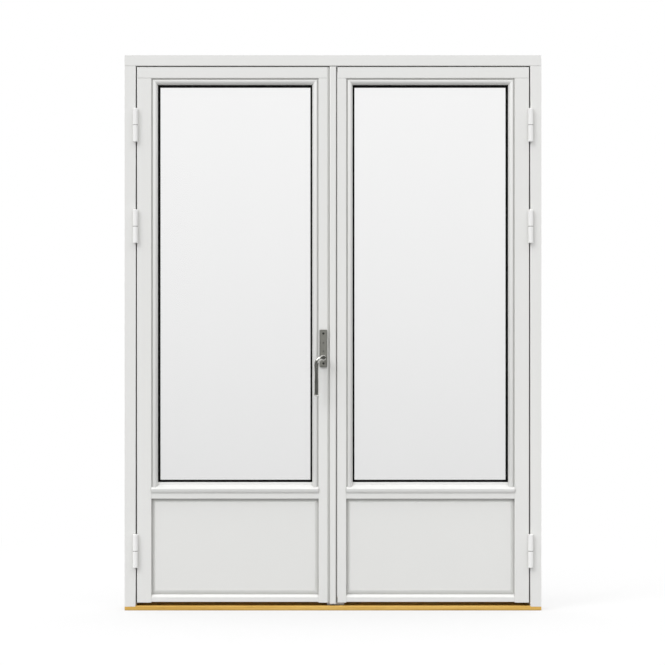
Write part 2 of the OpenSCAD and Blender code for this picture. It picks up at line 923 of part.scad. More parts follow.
module plate_outline(inset) {
    r = max(plate_round - inset, plate_round / 4);
    x = plate_w / 2 - inset;
    z = plate_h / 2 - inset;
    union() {
        square([2 * x, 2 * (z - r)], center = true);
        square([2 * (x - r), 2 * z], center = true);
        for (i = [-1, 1], k = [-1, 1]) translate([i * (x - r), k * (z - r)]) circle(r);
    }
}

module handle_plate() {
    dimple_r = 2.6;
    dimple_d = 0.8;
    dimple_low = 10;
    dimple_high = 20;
    dimple_zs = [plate_z - dimple_low, plate_z + dimple_high];
    color(nickel) difference() {
        translate([handle_x, 0, plate_z]) {
            along_y(plate_y + plate_step, front) plate_outline(0);
            along_y(plate_y, plate_y + plate_step) plate_outline(plate_step);
        }
        translate([handle_x, plate_y - over, handle_z]) rotate([-90, 0, 0])
            cylinder(r = neck_r + turn_clear, h = plate_t + 2 * over);
        for (z = dimple_zs) translate([handle_x, plate_y - over, z]) rotate([-90, 0, 0])
            cylinder(r = dimple_r, h = dimple_d + over);
        for (z = screw_zs) translate([handle_x, plate_y, z]) screw_body(0);
    }
}

// Countersunk slotted screw along +Y, with its head's top at y = 0

module screw_body(slot_d) {
    difference() {
        rotate([-90, 0, 0]) union() {
            cylinder(r1 = screw_head_r, r2 = screw_r, h = screw_head_r - screw_r);
            cylinder(r = screw_r, h = screw_len);
        }
        if (slot_d > 0)
            rotate([0, slot_turn, 0]) cube([2 * screw_head_r + over, 2 * slot_d, slot_d], center = true);
    }
}

module handle_screws() {
    slot_d = 0.9;
    color(nickel) for (z = screw_zs) translate([handle_x, plate_y, z]) screw_body(slot_d);
}

module handle_lever() {
    bend_z = -lever_reach;
    grip_len = lever_drop - lever_reach;
    hub_y = lever_bend_r + 1.5;
    hub_edge = 3;
    color(nickel) difference() {
        translate([handle_x, lever_y, handle_z]) union() {
            rotate([-90, 0, 0]) translate([0, 0, -hub_y]) rotate_extrude() difference() {
                union() {
                    square([hub_r, 2 * hub_y]);
                    square([neck_r, lever_out + hub_y - neck_play]);
                }
                translate([hub_r, 0]) mirror([1, 0]) round_cut(hub_edge);
                translate([hub_r, 2 * hub_y]) mirror([1, 0]) mirror([0, 1]) round_cut(hub_edge);
            }
            translate([0, 0, bend_z]) rotate([90, 0, 0]) rotate([0, 0, 90])
                rotate_extrude(angle = 90) translate([lever_reach, 0]) circle(lever_bend_r);
            translate([-lever_reach, 0, bend_z - grip_len]) rotate_extrude() difference() {
                polygon([
                    [0, 0], [lever_r, 0], [lever_waist_r, grip_len - lever_waist_drop],
                    [lever_bend_r, grip_len], [0, grip_len]
                ]);
                translate([lever_r, 0]) mirror([1, 0]) round_cut(lever_r - over);
            }
        }
        translate([handle_x, lever_y, handle_z]) spindle_bar(turn_clear, 0);
    }
}

// Square spindle from the middle of the hub to the back of the gear

module spindle_bar(clear, short) {
    s = spindle_s + 2 * clear;
    translate([-s / 2, 0, -s / 2])
        cube([s, lever_out + drive_depth + case_room / 2 + case_wall - short, s]);
}

module handle_spindle() {
    color(steel) translate([handle_x, lever_y, handle_z]) spindle_bar(0, case_wall / 2);
}

// Drive gear: involute teeth, in mesh with a rack on each side

function involute(r) = tan(acos(base_r / r)) * 180 / PI - acos(base_r / r);
function half_tooth(r) = 90 / gear_teeth - backlash / 4 / pitch_r * 180 / PI + involute(pitch_r) - involute(r);
function polar(r, a) = [r * cos(a), r * sin(a)];
flank = [for (i = [0 : 4]) base_r + i * (pitch_r + gear_add - base_r) / 4];
root_r = pitch_r - gear_ded;
gear_points = [for (i = [0 : gear_teeth - 1]) let (a = i * 360 / gear_teeth) each concat(
    [polar(root_r, a - half_tooth(base_r))],
    [for (r = flank) polar(r, a - half_tooth(r))],
    [for (k = [4 : -1 : 0]) polar(flank[k], a + half_tooth(flank[k]))],
    [polar(root_r, a + half_tooth(base_r))])];

module drive_gear() {
    s = spindle_s + 2 * turn_clear;
    color(steel) translate([handle_x, drive_y, handle_z]) difference() {
        union() {
            along_y(-gear_t / 2, gear_t / 2) polygon(gear_points);
            translate([0, -case_room / 2 - case_wall, 0]) rotate([-90, 0, 0])
                cylinder(r = journal_r, h = case_room + 2 * case_wall);
        }
        along_y(-case_room, case_room) square(s, center = true);
    }
}

// Bolt rod: a rack beside the gear, a jog to the leaf's edge and a round end. Drawn as (x, z) from the gear's axis

module rack_teeth() {
    half = tooth_pitch / 4 - backlash / 4;
    tip = half - rack_add * tan(pressure);
    root = half + rack_ded * tan(pressure);
    for (i = [rack_teeth_low : rack_teeth_high]) translate([0, (i + 0.5) * tooth_pitch])
        polygon([[-rack_ded - over / 2, -root], [rack_add, -tip], [rack_add, tip], [-rack_ded - over / 2, root]]);
}

module bolt_rod(rack_side, up, end) {
    rack_x = rack_side * (pitch_r + rack_ded);
    rack_far = rack_x + rack_side * rack_back;
    rod_mid = rod_x - handle_x;
    translate([handle_x, drive_y, handle_z]) mirror([0, 0, up > 0 ? 0 : 1]) union() {
        along_y(-rod_t / 2, rod_t / 2) {
            rect(min(rack_x, rack_far), max(rack_x, rack_far), -rack_end, jog_z + jog_h);
            rect(min(rack_x, rack_far), rod_mid + rod_w / 2, jog_z, jog_z + jog_h);
            rect(rod_mid - rod_w / 2, rod_mid + rod_w / 2, jog_z, end - bolt_tip);
            translate([rack_side * pitch_r, 0]) mirror([rack_side > 0 ? 1 : 0, 0]) rack_teeth();
        }
        translate([rod_mid, 0, end - bolt_tip - rod_t]) cylinder(r = bolt_r, h = bolt_tip + rod_t);
    }
}

module upper_bolt_rod() {
    color(steel) bolt_rod(-1, 1, leaf_top - bolt_rest - handle_z);
}

module lower_bolt_rod() {
    color(steel) bolt_rod(1, -1, handle_z - leaf_bottom - bolt_rest);
}

module bolt_case() {
    half = case_h / 2;
    outer = case_room / 2 + case_wall;
    color(steel) difference() {
        union() {
            box(case_x, face_x - face_t, drive_y - outer, drive_y + outer, handle_z - half, handle_z + half);
            box(face_x - face_t, face_x, drive_y - face_w / 2, drive_y + face_w / 2, leaf_bottom, leaf_top);
        }
        box(case_back, face_x - face_t, drive_y - case_room / 2, drive_y + case_room / 2,
            handle_z - half + case_wall, handle_z + half - case_wall);
        box(channel_floor, face_x - face_t, drive_y - channel_half, drive_y + channel_half,
            handle_z - half - over, handle_z + half + over);
        translate([handle_x, drive_y - outer - over, handle_z]) rotate([-90, 0, 0])
            cylinder(r = journal_r + turn_clear, h = 2 * outer + 2 * over);
    }
}

// Flush bolts of the passive leaf

module flush_plate() {
    slot_w = thumb_w + 2 * thumb_play;
    z = leaf_top - flush_len / 2;
    difference() {
        box(flush_face - face_t, flush_face, drive_y - face_w / 2, drive_y + face_w / 2,
            leaf_top - flush_len, leaf_top);
        box(flush_face - face_t - over, flush_face + over, drive_y - slot_w / 2, drive_y + slot_w / 2,
            z - thumb_play, z + thumb_len + flush_throw + thumb_play);
    }
}

module flush_bolt() {
    z = leaf_top - flush_len / 2;
    union() {
        translate([flush_u, drive_y, leaf_top - flush_len + bolt_tail])
            cylinder(r = bolt_r, h = flush_len - bolt_tail - bolt_rest);
        box(flush_u, flush_face - slide_clear, drive_y - thumb_w / 2, drive_y + thumb_w / 2, z, z + thumb_len);
    }
}

module flush_bolt_plates() {
    color(steel) on_right() {
        flush_plate();
        at_bottom() flush_plate();
    }
}

module flush_bolt_top() {
    color(steel) on_right() flush_bolt();
}

module flush_bolt_bottom() {
    color(steel) on_right() at_bottom() flush_bolt();
}

module active_top_rail() {
    color(paint) on_left() difference() {
        top_rail(active_w, active_stile_w);
        active_edge_cut();
    }
}

module passive_top_rail() {
    color(paint) on_right() difference() {
        top_rail(passive_w, passive_stile_w);
        passive_edge_cut();
    }
}

frame_head();
color(paint) jamb();  // jamb_left
color(paint) mirror([1, 0, 0]) jamb();  // jamb_right
threshold();
frame_seal();
head_strike();
threshold_strike();
hinge_pins();
hinge_frame_half(hinge_top_z);  // left_top_hinge_frame_half
hinge_frame_half(hinge_mid_z);  // left_middle_hinge_frame_half
hinge_frame_half(hinge_low_z);  // left_bottom_hinge_frame_half
mirror([1, 0, 0]) hinge_frame_half(hinge_top_z);  // right_top_hinge_frame_half
mirror([1, 0, 0]) hinge_frame_half(hinge_mid_z);  // right_middle_hinge_frame_half
mirror([1, 0, 0]) hinge_frame_half(hinge_low_z);  // right_bottom_hinge_frame_half
on_left() hinge_stile();  // active_hinge_stile
active_meeting_stile();
active_top_rail();
on_left() mid_rail(active_w, active_stile_w);  // active_mid_rail
on_left() bottom_rail(active_w, active_stile_w);  // active_bottom_rail
on_left() panel(active_w, active_stile_w);  // active_panel
on_left() glass_panes(active_w, active_stile_w);  // active_glass_panes
on_left() spacer(active_w, active_stile_w);  // active_spacer
on_left() gaskets(active_w, active_stile_w);  // active_gaskets
on_left() bead_top(active_w, active_stile_w);  // active_bead_top
on_left() bead_hinge_side();  // active_bead_hinge_side
on_left() bead_meeting_side(active_w, active_stile_w);  // active_bead_meeting_side
on_left() bead_bottom(active_w, active_stile_w);  // active_bead_bottom
hinge_leaf_half(hinge_top_z);  // left_top_hinge_leaf_half
hinge_leaf_half(hinge_mid_z);  // left_middle_hinge_leaf_half
hinge_leaf_half(hinge_low_z);  // left_bottom_hinge_leaf_half
cover_strip();
meeting_seal();
handle_plate();
handle_screws();
bolt_case();
handle_lever();
handle_spindle();
drive_gear();
upper_bolt_rod();
lower_bolt_rod();
on_right() hinge_stile();  // passive_hinge_stile
passive_meeting_stile();
passive_top_rail();
on_right() mid_rail(passive_w, passive_stile_w);  // passive_mid_rail
on_right() bottom_rail(passive_w, passive_stile_w);  // passive_bottom_rail
on_right() panel(passive_w, passive_stile_w);  // passive_panel
on_right() glass_panes(passive_w, passive_stile_w);  // passive_glass_panes
on_right() spacer(passive_w, passive_stile_w);  // passive_spacer
on_right() gaskets(passive_w, passive_stile_w);  // passive_gaskets
on_right() bead_top(passive_w, passive_stile_w);  // passive_bead_top
on_right() bead_hinge_side();  // passive_bead_hinge_side
on_right() bead_meeting_side(passive_w, passive_stile_w);  // passive_bead_meeting_side
on_right() bead_bottom(passive_w, passive_stile_w);  // passive_bead_bottom
mirror([1, 0, 0]) hinge_leaf_half(hinge_top_z);  // right_top_hinge_leaf_half
mirror([1, 0, 0]) hinge_leaf_half(hinge_mid_z);  // right_middle_hinge_leaf_half
mirror([1, 0, 0]) hinge_leaf_half(hinge_low_z);  // right_bottom_hinge_leaf_half
flush_bolt_plates();
flush_bolt_top();
flush_bolt_bottom();
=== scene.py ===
import json
import math

import bmesh
import bpy
from mathutils import Matrix, Vector


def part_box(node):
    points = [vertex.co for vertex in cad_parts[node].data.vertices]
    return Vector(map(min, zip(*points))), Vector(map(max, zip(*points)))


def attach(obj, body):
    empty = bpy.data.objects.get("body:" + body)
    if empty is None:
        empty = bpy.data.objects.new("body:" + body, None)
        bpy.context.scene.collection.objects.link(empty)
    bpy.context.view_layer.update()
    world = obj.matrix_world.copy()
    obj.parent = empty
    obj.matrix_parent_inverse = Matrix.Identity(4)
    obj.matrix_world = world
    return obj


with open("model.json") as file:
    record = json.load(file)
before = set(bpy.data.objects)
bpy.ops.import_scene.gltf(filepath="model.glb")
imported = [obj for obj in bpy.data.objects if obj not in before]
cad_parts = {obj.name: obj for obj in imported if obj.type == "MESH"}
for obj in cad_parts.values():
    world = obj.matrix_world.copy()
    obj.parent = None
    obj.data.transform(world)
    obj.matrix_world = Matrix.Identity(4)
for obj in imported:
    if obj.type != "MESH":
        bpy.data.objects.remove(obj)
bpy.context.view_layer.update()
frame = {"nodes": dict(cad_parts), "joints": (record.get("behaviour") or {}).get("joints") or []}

# Threshold: one length of oak under the whole frame, with a rounded nose towards the room and an
# upstand behind the leaves. It is planed along the grain, oiled, and screwed to the floor before
# the jambs are set on it.
OAK_EARLY = (0.58, 0.325, 0.058)
OAK_MIDDLE = (0.72, 0.435, 0.092)
OAK_PALE = (0.80, 0.510, 0.130)
OAK_LATE = (0.65, 0.380, 0.074)
OAK_PORE = (0.30, 0.155, 0.030)
OAK_FOOT_SHADE = (0.26, 0.14, 0.03)
OAK_FOOT_SHADE_LOW_Z = 0.0005
OAK_FOOT_SHADE_HIGH_Z = 0.0055
OAK_RELIEF = 0.00025
OAK_EASE = 0.0008
EASE_STEPS = 2
EASE_ANGLE = math.radians(40)
WELD_REACH = 1e-6


class Tone:
    """A number, colour or vector that varies over a finish. Arithmetic on it adds Math nodes."""

    def __init__(self, finish, socket):
        self.finish = finish
        self.socket = socket

    def _math(self, operation, left, right):
        return self.finish.node("ShaderNodeMath", {"operation": operation}, {0: left, 1: right})

    def __add__(self, other):
        return self._math("ADD", self, other)

    def __radd__(self, other):
        return self._math("ADD", other, self)

    def __rsub__(self, other):
        return self._math("SUBTRACT", other, self)

    def __mul__(self, other):
        return self._math("MULTIPLY", self, other)

    def __rmul__(self, other):
        return self._math("MULTIPLY", other, self)

    def __pow__(self, other):
        return self._math("POWER", self, other)


class Finish:
    """A paint, oil, plating or moulded surface, or the sky, as shader nodes round one main node."""

    def __init__(self, holder, constants, main="Principled BSDF"):
        holder.use_nodes = True
        self.holder = holder
        self.tree = holder.node_tree
        self.main = self.tree.nodes[main]
        for socket, value in constants.items():
            self.main.inputs[socket].default_value = value

    def node(self, kind, settings, sockets, out=0):
        made = self.tree.nodes.new(kind)
        for key, value in settings.items():
            if key == "stops":
                stops = made.color_ramp.elements
                while len(stops) < len(value):
                    stops.new(1.0)
                for stop, (place, colour) in zip(stops, value):
                    stop.position = place
                    stop.color = (*colour, 1.0)
            else:
                setattr(made, key, value)
        for key, value in sockets.items():
            if isinstance(value, Tone):
                self.tree.links.new(value.socket, made.inputs[key])
            else:
                made.inputs[key].default_value = value
        return Tone(self, made.outputs[out])

    def feed(self, socket, tone):
        self.tree.links.new(tone.socket, self.main.inputs[socket])

    def spot(self, stretch):
        here = self.node("ShaderNodeTexCoord", {}, {}, "Object")
        return self.node("ShaderNodeVectorMath", {"operation": "MULTIPLY"}, {0: here, 1: stretch})

    def noise(self, stretch, detail):
        sockets = {"Vector": self.spot(stretch), "Scale": 1.0, "Detail": detail}
        return self.node("ShaderNodeTexNoise", {}, sockets)

    def blend(self, share, one, other):
        one, other = [c if isinstance(c, Tone) else (*c, 1.0) for c in (one, other)]
        return self.node("ShaderNodeMix", {"data_type": "RGBA"}, {0: share, 6: one, 7: other}, 2)

    def ramp(self, share, *stops):
        return self.node("ShaderNodeValToRGB", {"stops": stops}, {0: share})

    def rising(self, share, low, high):
        return self.ramp(share, (low, (0.0, 0.0, 0.0)), (high, (1.0, 1.0, 1.0)))

    def falling(self, share, low, high):
        return self.ramp(share, (low, (1.0, 1.0, 1.0)), (high, (0.0, 0.0, 0.0)))

    def height(self, low, high):
        here = self.node("ShaderNodeTexCoord", {}, {}, "Object")
        level = self.node("ShaderNodeSeparateXYZ", {}, {0: here}, "Z")
        return self.node("ShaderNodeMapRange", {}, {"Value": level, "From Min": low, "From Max": high})

    def relief(self, tone, depth):
        bump = self.node("ShaderNodeBump", {}, {"Height": tone, "Distance": depth, "Strength": 1.0})
        self.feed("Normal", bump)


def new_finish(name, constants):
    return Finish(bpy.data.materials.new(name), constants)


def dress(finish, *names):
    for name in names:
        for part in frame["nodes"][name].material_slots:
            part.material = finish.holder


def ease(width, *names):
    """Rounds the sharp edges of pieces a little, as sanding or plating does."""
    for name in names:
        piece = frame["nodes"][name]
        piece.modifiers.new("joined", "WELD").merge_threshold = WELD_REACH
        edge = piece.modifiers.new("eased", "BEVEL")
        edge.width = width
        edge.segments = EASE_STEPS
        edge.limit_method = "ANGLE"
        edge.angle_limit = EASE_ANGLE
        edge.harden_normals = True


oak = new_finish("oiled_oak", {"Specular IOR Level": 0.4})
oak_bands = oak.noise((1.6, 60.0, 55.0), 4.0)
oak_pores = oak.noise((28.0, 900.0, 900.0), 3.0)
oak_flecks = oak.noise((9.0, 210.0, 210.0), 2.0)
oak_grain = oak.ramp(oak_bands, (0.30, OAK_EARLY), (0.48, OAK_MIDDLE), (0.62, OAK_PALE), (0.75, OAK_LATE))
oak_grain = oak.blend(oak.falling(oak_pores, 0.28, 0.42) * 0.55, oak_grain, OAK_PORE)
# Painted shadow: the lowest few millimetres of the nose are darkened where it meets the floor.
oak_foot_shade = 1.0 - oak.height(OAK_FOOT_SHADE_LOW_Z, OAK_FOOT_SHADE_HIGH_Z)
oak.feed("Base Color", oak.blend(oak_foot_shade * 0.62, oak_grain, OAK_FOOT_SHADE))
oak.feed("Roughness", 0.42 + 0.18 * oak_flecks)
oak.relief(oak_pores * 0.6 + oak_bands * 0.4, OAK_RELIEF)
dress(oak, "threshold")
ease(OAK_EASE, "threshold")

# Jambs and head: planed pine, primed and sprayed with white satin paint. The head lies over the
# jambs, and a fine groove shows at each butt joint. Faint marks follow the grain, and the
# corners and hollows are painted darker as shade.
PAINT_COLOUR = (0.812, 0.812, 0.797)
PAINT_SHADE = (0.780, 0.782, 0.767)
PAINT_RELIEF = 0.00012
CORNER_SHADE = (0.40, 0.40, 0.37)
CORNER_REACH = 0.010
CORNER_RAYS = 8
UPRIGHT_MARKS = (420.0, 420.0, 7.0)
LEVEL_MARKS = (7.0, 420.0, 420.0)
FRAME_EASE = 0.0006


def shade_in_hollows(finish, reach, deep, shallow):
    """A mask for painted shade: one deep in corners and hollows, and nought on open faces."""
    settings = {"samples": CORNER_RAYS}
    open_air = finish.node("ShaderNodeAmbientOcclusion", settings, {"Distance": reach}, "AO")
    return finish.falling(open_air, deep, shallow)


def white_paint(name, marks):
    paint = new_finish(name, {"Specular IOR Level": 0.42})
    strokes = paint.noise(marks, 3.0)
    peel = paint.noise((750.0, 750.0, 750.0), 1.0)
    clouds = paint.noise((2.6, 2.6, 2.6), 3.0)
    worn = paint.rising(clouds, 0.35, 0.75) * 0.35 + strokes * 0.15
    colour = paint.blend(worn, PAINT_COLOUR, PAINT_SHADE)
    # Painted shade: corners and hollows are darkened in the paint's colour.
    corner_shade = shade_in_hollows(paint, CORNER_REACH, 0.35, 0.95)
    paint.feed("Base Color", paint.blend(corner_shade * 0.32, colour, CORNER_SHADE))
    paint.feed("Roughness", 0.34 + 0.10 * strokes + 0.05 * clouds)
    paint.relief(strokes * 0.7 + peel * 0.3, PAINT_RELIEF)
    return paint


paint_upright = white_paint("white_paint_upright", UPRIGHT_MARKS)
paint_level = white_paint("white_paint_level", LEVEL_MARKS)
dress(paint_upright, "jamb_left", "jamb_right")
dress(paint_level, "frame_head")
ease(FRAME_EASE, "jamb_left", "jamb_right", "frame_head")

# Frame seal: a black extruded rubber lip that runs round the stop, held by its tail in a kerf.
# It has been rubbed a little grey where the leaves close on it.
RUBBER_BLACK = (0.002, 0.002, 0.002)
RUBBER_GREY = (0.008, 0.008, 0.0075)
RUBBER_RELIEF = 0.00005
rubber = new_finish("black_rubber", {"Specular IOR Level": 0.08})
rubber_dust = rubber.noise((14.0, 14.0, 14.0), 4.0)
rubber_skin = rubber.noise((1600.0, 1600.0, 1600.0), 1.0)
rubber.feed("Base Color", rubber.blend(rubber_dust * 0.5, RUBBER_BLACK, RUBBER_GREY))
rubber.feed("Roughness", 0.62 + 0.2 * rubber_dust)
rubber.relief(rubber_skin, RUBBER_RELIEF)
dress(rubber, "frame_seal")

# Strikes: a zinc plated plate let into the head and a block on the threshold, each with a hole for
# the active leaf's bolt and one for the flush bolt. Three countersunk screws with a cross recess
# hold each one.
ZINC_DULL = (0.50, 0.51, 0.52)
ZINC_BRIGHT = (0.62, 0.63, 0.65)
ZINC_RELIEF = 0.00004
STRIKE_EASE = 0.0003
STRIKE_SCREW_R = 0.0032
STRIKE_SCREW_EDGE = 0.0048
HEAD_RAISED = 0.16
HEAD_RIM = 0.35 * HEAD_RAISED
HEAD_SUNK = 0.3
RECESS_HALF = 0.17
SEAT_FILM = 0.00005
SEAT_SIDES = 24
QUARTER_STEPS = 5
SCREW_TURN = math.radians(37)
zinc = new_finish("zinc_plate", {"Metallic": 1.0})
zinc_drawn = zinc.noise((900.0, 900.0, 12.0), 3.0)
zinc_bloom = zinc.noise((60.0, 60.0, 60.0), 3.0)
zinc.feed("Base Color", zinc.blend(zinc_bloom, ZINC_DULL, ZINC_BRIGHT))
zinc.feed("Roughness", 0.30 + 0.14 * zinc_drawn + 0.08 * zinc_bloom)
zinc.relief(zinc_drawn, ZINC_RELIEF)
dress(zinc, "head_strike", "threshold_strike")
ease(STRIKE_EASE, "head_strike", "threshold_strike")


def add_piece(name, shape, finish, body):
    bmesh.ops.recalc_face_normals(shape, faces=shape.faces)
    mesh = bpy.data.meshes.new(name)
    shape.to_mesh(mesh)
    shape.free()
    mesh.materials.append(finish.holder)
    piece = bpy.data.objects.new(name, mesh)
    bpy.context.scene.collection.objects.link(piece)
    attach(piece, body)


def ring(radius, level, sides):
    turns = [k * math.tau / sides for k in range(sides)]
    return [Vector((radius * math.cos(turn), radius * math.sin(turn), level)) for turn in turns]


def prism(shape, put, low_outline, high_outline):
    """A closed solid between two outlines that have as many points each."""
    low = [shape.verts.new(put @ point) for point in low_outline]
    high = [shape.verts.new(put @ point) for point in high_outline]
    shape.faces.new(low[::-1])
    shape.faces.new(high)
    for i in range(len(low)):
        k = (i + 1) % len(low)
        shape.faces.new([low[i], low[k], high[k], high[i]])


def screw_heads(name, places, facing, radius, finish, body):
    """Countersunk heads: on a round seat, four quarters leave a cross between them.

    The head's rise, its rim, its depth and half the cross's width are shares of the radius.
    """
    seat_low = ring(radius, -HEAD_SUNK * radius, SEAT_SIDES)
    seat_high = ring(radius, SEAT_FILM, SEAT_SIDES)
    start = math.asin(RECESS_HALF)
    step = (math.pi / 2 - 2 * start) / QUARTER_STEPS
    arc = [start + k * step for k in range(QUARTER_STEPS + 1)]
    quarter_high = [Vector((RECESS_HALF, RECESS_HALF, HEAD_RAISED)) * radius]
    quarter_high += [Vector((math.cos(turn), math.sin(turn), HEAD_RIM)) * radius for turn in arc]
    quarter_low = [Vector((point.x, point.y, 0.0)) for point in quarter_high]
    away = Vector(facing)
    side = away.orthogonal().normalized()
    upright = Matrix((side, away.cross(side), away)).transposed().to_4x4()
    shape = bmesh.new()
    for number, place in enumerate(places):
        put = Matrix.Translation(place) @ upright @ Matrix.Rotation(SCREW_TURN * number, 4, "Z")
        prism(shape, put, seat_low, seat_high)
        for quarter in range(4):
            turned = put @ Matrix.Rotation(quarter * math.pi / 2, 4, "Z")
            prism(shape, turned, quarter_low, quarter_high)
    add_piece(name, shape, finish, body)


for strike, facing in (("head_strike", -1), ("threshold_strike", 1)):
    low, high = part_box(strike)
    level = high[2] if facing > 0 else low[2]
    middle = (low[1] + high[1]) / 2
    across = (low[0] + STRIKE_SCREW_EDGE, (low[0] + high[0]) / 2, high[0] - STRIKE_SCREW_EDGE)
    places = [(x, middle, level) for x in across]
    screw_heads(strike + "_screws", places, (0, 0, facing), STRIKE_SCREW_R, zinc, "frame")

# Hinges: pressed and powder coated steel. The lower knuckle belongs to the frame's wing and the
# upper one to the leaf's, and each wing is let into the timber and held by four screws. A loose
# steel pin joins the knuckles, and a thin grey nylon washer shows between them.
COAT_WHITE = (0.91, 0.91, 0.90)
COAT_SHADE = (0.85, 0.85, 0.84)
COAT_RELIEF = 0.00008
NYLON_DARK = (0.26, 0.26, 0.25)
NYLON_PALE = (0.32, 0.32, 0.31)
LEVELS = ("top", "middle", "bottom")
LEAF_GAP = 0.004
WASHER_R = 0.00915
WASHER_BORE_R = 0.0055
WASHER_H = 0.0022
WASHER_RIM = ((0.0, -0.5), (0.975, -0.5), (1.0, -0.4), (1.0, 0.4), (0.975, 0.5), (0.0, 0.5))
WASHER_SIDES = 48
WING_SCREW_R = 0.0042
WING_SCREW_ROWS = (-0.046, -0.018, 0.018, 0.046)
WING_SCREW_LINES = (-0.0295, -0.0435)
coat = new_finish("hinge_powder_coat", {"Specular IOR Level": 0.5})
coat_peel = coat.noise((1100.0, 1100.0, 1100.0), 2.0)
coat_clouds = coat.noise((30.0, 30.0, 9.0), 2.0)
coat.feed("Base Color", coat.blend(coat_clouds * 0.4, COAT_WHITE, COAT_SHADE))
coat.feed("Roughness", 0.26 + 0.12 * coat_peel)
coat.relief(coat_peel, COAT_RELIEF)
nylon = new_finish("grey_nylon", {"Specular IOR Level": 0.3})
nylon_grain = nylon.noise((900.0, 900.0, 900.0), 2.0)
nylon.feed("Base Color", nylon.blend(nylon_grain, NYLON_DARK, NYLON_PALE))
nylon.feed("Roughness", 0.5 + 0.2 * nylon_grain)
dress(zinc, "hinge_pins")


def washer(shape, centre):
    """A flat ring. Its rim's points are shares of the way out from the bore, and of the height."""
    rings = []
    for out, up in WASHER_RIM:
        reach = WASHER_BORE_R + (WASHER_R - WASHER_BORE_R) * out
        points = ring(reach, up * WASHER_H, WASHER_SIDES)
        rings.append([shape.verts.new(centre + point) for point in points])
    for one, following in zip(rings, rings[1:] + rings[:1]):
        for k in range(WASHER_SIDES):
            j = (k + 1) % WASHER_SIDES
            shape.faces.new([one[k], one[j], following[j], following[k]]).smooth = True


for side, body, stile, sign in (("left", "active_leaf", "active_hinge_stile", -1),
                                ("right", "passive_leaf", "passive_hinge_stile", 1)):
    pin = next(joint["pos_m"] for joint in frame["joints"] if joint["child"] == body)
    low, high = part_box(stile)
    leaf_face = high[0] if sign > 0 else low[0]
    jamb_face = leaf_face + sign * LEAF_GAP
    leaf_places = []
    jamb_places = []
    washers = bmesh.new()
    for level in LEVELS:
        frame_half = f"{side}_{level}_hinge_frame_half"
        dress(coat, frame_half, f"{side}_{level}_hinge_leaf_half")
        low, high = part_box(frame_half)
        middle = (low[2] + high[2]) / 2
        washer(washers, Vector((pin[0], pin[1], middle)))
        for number, row in enumerate(WING_SCREW_ROWS):
            line = WING_SCREW_LINES[number % 2]
            jamb_places.append((jamb_face, line, middle + row))
            leaf_places.append((leaf_face, line, middle + row))
    add_piece(side + "_hinge_washers", washers, nylon, "frame")
    screw_heads(side + "_jamb_wing_screws", jamb_places, (-sign, 0, 0), WING_SCREW_R, coat,
                "frame")
    screw_heads(side + "_leaf_wing_screws", leaf_places, (sign, 0, 0), WING_SCREW_R, coat,
                body)

# Leaf timber: stiles and coped rails of laminated pine, and a raised panel held loose in their
# grooves. All is painted white after assembly, so the brush marks turn at each joint.
LEAVES = ("active", "passive")
STILES = ("_hinge_stile", "_meeting_stile")
RAILS = ("_top_rail", "_mid_rail", "_bottom_rail")
PANEL_MARKS = (90.0, 300.0, 90.0)
LEAF_EASE = 0.0006
paint_panel = white_paint("white_paint_panel", PANEL_MARKS)
for leaf in LEAVES:
    stiles = [leaf + stile for stile in STILES]
    rails = [leaf + rail for rail in RAILS]
    dress(paint_upright, *stiles)
    dress(paint_level, *rails)
    dress(paint_panel, leaf + "_panel")
    ease(LEAF_EASE, *stiles, *rails, leaf + "_panel")

# Glazing: two clear float panes with a black spacer between them, bedded on black gaskets. The
# glass is nearly colourless with a plain reflection, and a painted reflection makes it a little
# greyer towards the bottom.
GLASS_BODY = (0.10, 0.105, 0.10, 1.0)
GLASS_TINT = 0.0215
GLASS_REFLECTION_GREY = 0.046
GLASS_FOOT_Z = 0.44
GLASS_HEAD_Z = 1.90
GLASS_FADE = 1.3
GLASS_SMEARS = 0.004
GLASS_EDGE = 0.35
SPACER_BLACK = (0.003, 0.003, 0.003)
SPACER_GREY = (0.010, 0.010, 0.010)


def mixed_surface(finish, share, one, other):
    """Gives a finish a surface that goes from one shader to the other by a share."""
    mixed = finish.node("ShaderNodeMixShader", {}, {0: share, 1: one, 2: other})
    finish.tree.links.new(mixed.socket, finish.tree.nodes["Material Output"].inputs["Surface"])


glass = new_finish("clear_glass", {"Base Color": GLASS_BODY, "Roughness": 0.02, "IOR": 1.45})
glass_smears = glass.noise((5.0, 5.0, 1.6), 4.0)
# Painted reflection: the glass shows more of its grey body lower down.
glass_painted_reflection = (1.0 - glass.height(GLASS_FOOT_Z, GLASS_HEAD_Z)) ** GLASS_FADE
glass_edge = glass.node("ShaderNodeLayerWeight", {}, {"Blend": 0.12}, "Fresnel")
glass_share = (GLASS_TINT + GLASS_REFLECTION_GREY * glass_painted_reflection + GLASS_SMEARS * glass_smears
               + GLASS_EDGE * glass_edge)
glass_clear = glass.node("ShaderNodeBsdfTransparent", {}, {"Color": (1.0, 1.0, 1.0, 1.0)})
mixed_surface(glass, glass_share, glass_clear, Tone(glass, glass.main.outputs[0]))
spacer_black = new_finish("spacer_black", {"Specular IOR Level": 0.2})
spacer_grain = spacer_black.noise((700.0, 700.0, 700.0), 2.0)
spacer_black.feed("Base Color", spacer_black.blend(spacer_grain, SPACER_BLACK, SPACER_GREY))
spacer_black.feed("Roughness", 0.55 + 0.2 * spacer_grain)
for leaf in LEAVES:
    dress(glass, leaf + "_glass_panes")
    dress(spacer_black, leaf + "_spacer")
    dress(rubber, leaf + "_gaskets")

